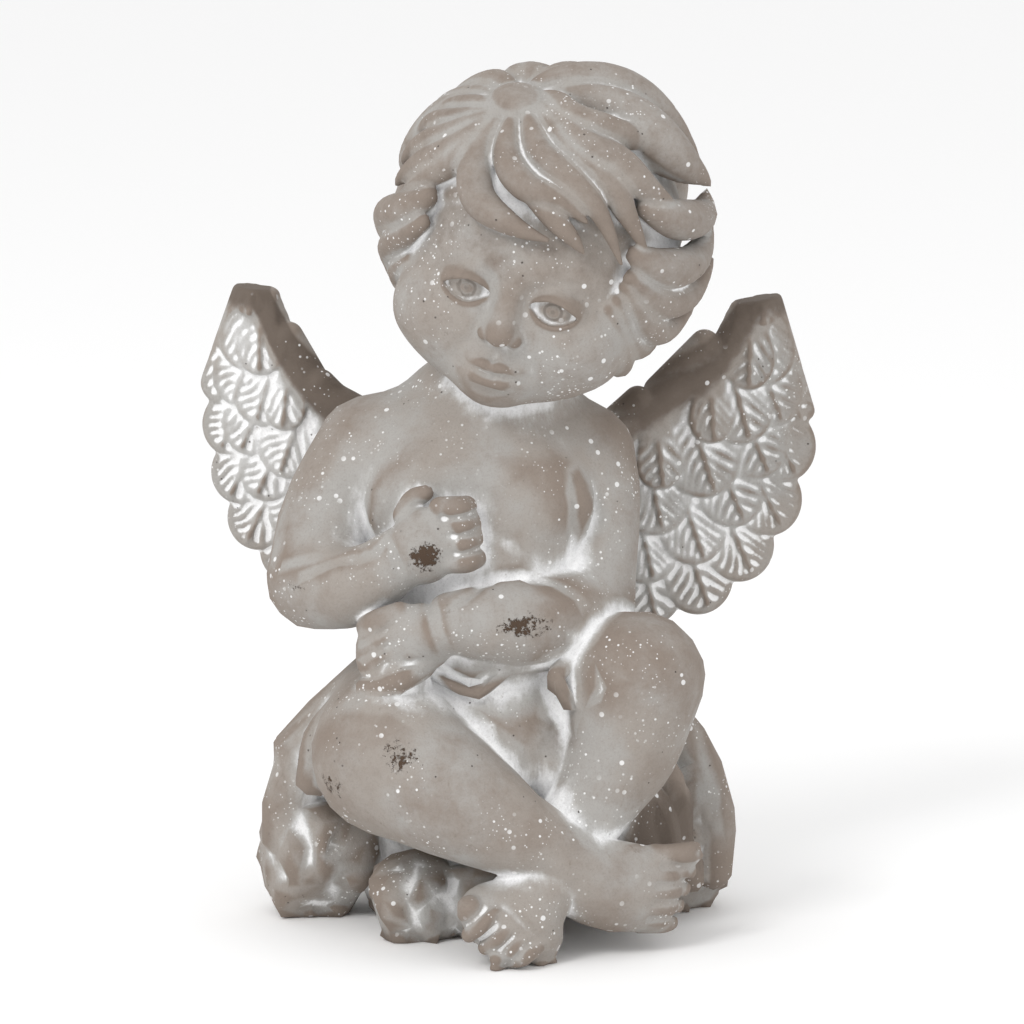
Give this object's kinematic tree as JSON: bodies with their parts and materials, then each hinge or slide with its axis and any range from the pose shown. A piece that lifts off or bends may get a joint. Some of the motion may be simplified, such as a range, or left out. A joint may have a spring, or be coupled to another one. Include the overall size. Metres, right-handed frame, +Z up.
{
  "type": "stone putto statue",
  "caption": "Seated winged child in cast grey stone, head leaning, one hand on the chest, legs crossed, on a low bed of rocks.",
  "frame": {"origin": "middle of the flat underside, where the statue stands", "axes": "+Z up, the figure faces -Y, +X is to the figure's left"},
  "size_m": [0.2497, 0.1579, 0.3434],
  "materials": {
    "cast_stone": "cast cement stone, rubbed warm brown on the high places, with a white wash left in the hollows and on the wings, fine white spatter and small casting pits"
  },
  "bodies": {
    "root": {"putto_statue": "cast_stone"}
  },
  "joints": []
}
